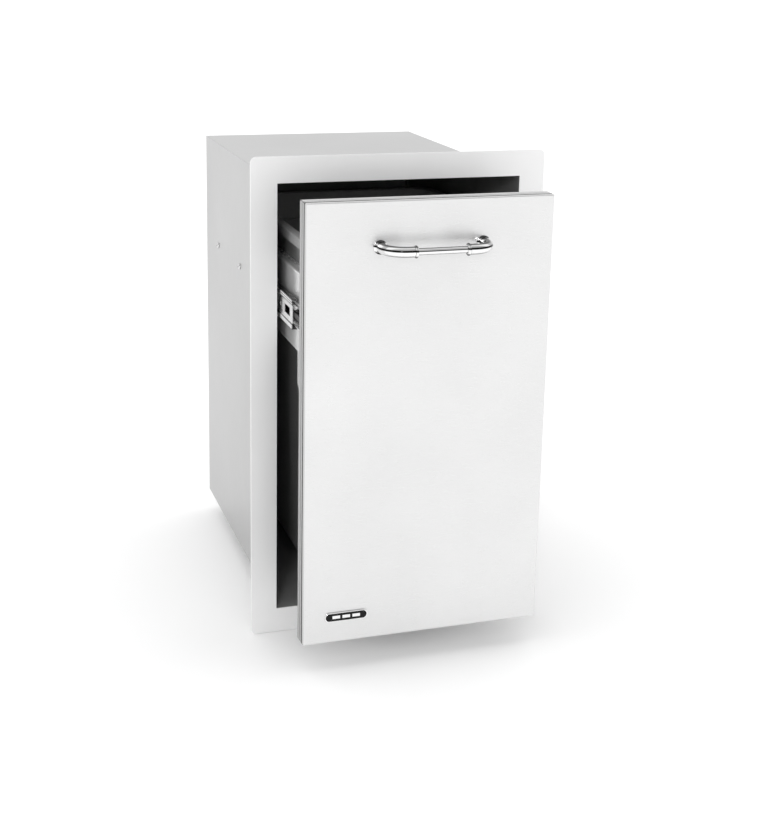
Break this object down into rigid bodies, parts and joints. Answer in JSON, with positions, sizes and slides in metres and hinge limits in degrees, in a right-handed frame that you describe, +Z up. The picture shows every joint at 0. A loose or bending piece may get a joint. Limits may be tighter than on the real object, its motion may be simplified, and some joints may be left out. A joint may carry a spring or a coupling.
{
  "type": "pull-out trash drawer",
  "caption": "Built-in stainless cabinet with a picture-frame flange, a pull-out drawer front on ball-bearing slides and a lift-out waste bin in a sheet-steel carrier.",
  "frame": {"origin": "middle of the cabinet's underside, in the plane of the flange's back face", "axes": "+X to the right seen from the front, +Y into the cabinet, +Z up; the drawer front faces -Y"},
  "size_m": [0.406, 0.6322, 0.66],
  "materials": {
    "stainless": "brushed stainless sheet",
    "polished_chrome": "polished",
    "zinc_steel": "bright zinc plate",
    "black_plastic": "black moulded plastic",
    "bin_plastic": "grey moulded plastic"
  },
  "bodies": {
    "cabinet": {"front_flange": "stainless", "cabinet_top": "stainless", "cabinet_floor": "stainless", "cabinet_back": "stainless", "cabinet_side_left": "stainless", "cabinet_rail_left": "zinc_steel", "rail_bumper_left": "black_plastic", "cabinet_screw_left_1": "zinc_steel", "cabinet_screw_left_2": "zinc_steel", "cabinet_screw_left_3": "zinc_steel", "cabinet_side_right": "stainless", "cabinet_rail_right": "zinc_steel", "rail_bumper_right": "black_plastic", "cabinet_screw_right_1": "zinc_steel", "cabinet_screw_right_2": "zinc_steel", "cabinet_screw_right_3": "zinc_steel"},
    "drawer": {"door_skin": "stainless", "door_back_pan": "stainless", "carrier_front": "stainless", "carrier_rear": "stainless", "handle_rod": "polished_chrome", "badge_plate": "black_plastic", "drawer_rail_left": "zinc_steel", "carrier_side_left": "stainless", "door_bracket_left": "stainless", "lever_rivet_left": "zinc_steel", "handle_screw_left": "zinc_steel", "handle_end_left": "polished_chrome", "handle_rosette_left": "polished_chrome", "handle_collar_left": "polished_chrome", "rail_screw_left_1": "zinc_steel", "rail_screw_left_2": "zinc_steel", "bracket_bolt_left_1": "zinc_steel", "bracket_bolt_left_2": "zinc_steel", "drawer_rail_right": "zinc_steel", "carrier_side_right": "stainless", "door_bracket_right": "stainless", "lever_rivet_right": "zinc_steel", "handle_screw_right": "zinc_steel", "handle_end_right": "polished_chrome", "handle_rosette_right": "polished_chrome", "handle_collar_right": "polished_chrome", "rail_screw_right_1": "zinc_steel", "rail_screw_right_2": "zinc_steel", "bracket_bolt_right_1": "zinc_steel", "bracket_bolt_right_2": "zinc_steel"},
    "bin": {"bin": "bin_plastic"},
    "middle_rail_left": {"middle_rail_left": "zinc_steel"},
    "outer_ball_cage_left": {"outer_ball_cage_left": "zinc_steel"},
    "inner_ball_cage_left": {"inner_ball_cage_left": "zinc_steel"},
    "release_lever_left": {"release_lever_left": "black_plastic"},
    "middle_rail_right": {"middle_rail_right": "zinc_steel"},
    "outer_ball_cage_right": {"outer_ball_cage_right": "zinc_steel"},
    "inner_ball_cage_right": {"inner_ball_cage_right": "zinc_steel"},
    "release_lever_right": {"release_lever_right": "black_plastic"}
  },
  "joints": [
    {"name": "drawer_travel", "type": "slide", "parent": "cabinet", "child": "drawer", "axis": [0, -1, 0], "range_m": [-0.1232, 0.2768]},
    {"name": "bin_lift", "type": "slide", "parent": "drawer", "child": "bin", "axis": [0, 0, 1], "range_m": [0, 0.06]},
    {"name": "middle_rail_left_travel", "type": "slide", "parent": "cabinet", "child": "middle_rail_left", "axis": [0, -1, 0], "range_m": [-0.0926, 0.2078]},
    {"name": "outer_ball_cage_left_travel", "type": "slide", "parent": "cabinet", "child": "outer_ball_cage_left", "axis": [0, -1, 0], "range_m": [-0.0464, 0.104]},
    {"name": "inner_ball_cage_left_travel", "type": "slide", "parent": "middle_rail_left", "child": "inner_ball_cage_left", "axis": [0, -1, 0], "range_m": [-0.0156, 0.0348]},
    {"name": "release_lever_left_tilt", "type": "hinge", "parent": "drawer", "child": "release_lever_left", "pos_m": [-0.1601, -0.0532, 0.435], "axis": [1, 0, 0], "range_deg": [-10, 10], "stiffness_Nm_per_rad": 0.05},
    {"name": "middle_rail_right_travel", "type": "slide", "parent": "cabinet", "child": "middle_rail_right", "axis": [0, -1, 0], "range_m": [-0.0926, 0.2078]},
    {"name": "outer_ball_cage_right_travel", "type": "slide", "parent": "cabinet", "child": "outer_ball_cage_right", "axis": [0, -1, 0], "range_m": [-0.0464, 0.104]},
    {"name": "inner_ball_cage_right_travel", "type": "slide", "parent": "middle_rail_right", "child": "inner_ball_cage_right", "axis": [0, -1, 0], "range_m": [-0.0156, 0.0348]},
    {"name": "release_lever_right_tilt", "type": "hinge", "parent": "drawer", "child": "release_lever_right", "pos_m": [0.1601, -0.0532, 0.435], "axis": [1, 0, 0], "range_deg": [-10, 10], "stiffness_Nm_per_rad": 0.05}
  ],
  "couplings": [
    {"joint": "middle_rail_left_travel", "follows": "drawer_travel", "ratio": 0.75},
    {"joint": "outer_ball_cage_left_travel", "follows": "drawer_travel", "ratio": 0.375},
    {"joint": "inner_ball_cage_left_travel", "follows": "drawer_travel", "ratio": 0.125},
    {"joint": "middle_rail_right_travel", "follows": "drawer_travel", "ratio": 0.75},
    {"joint": "outer_ball_cage_right_travel", "follows": "drawer_travel", "ratio": 0.375},
    {"joint": "inner_ball_cage_right_travel", "follows": "drawer_travel", "ratio": 0.125}
  ]
}
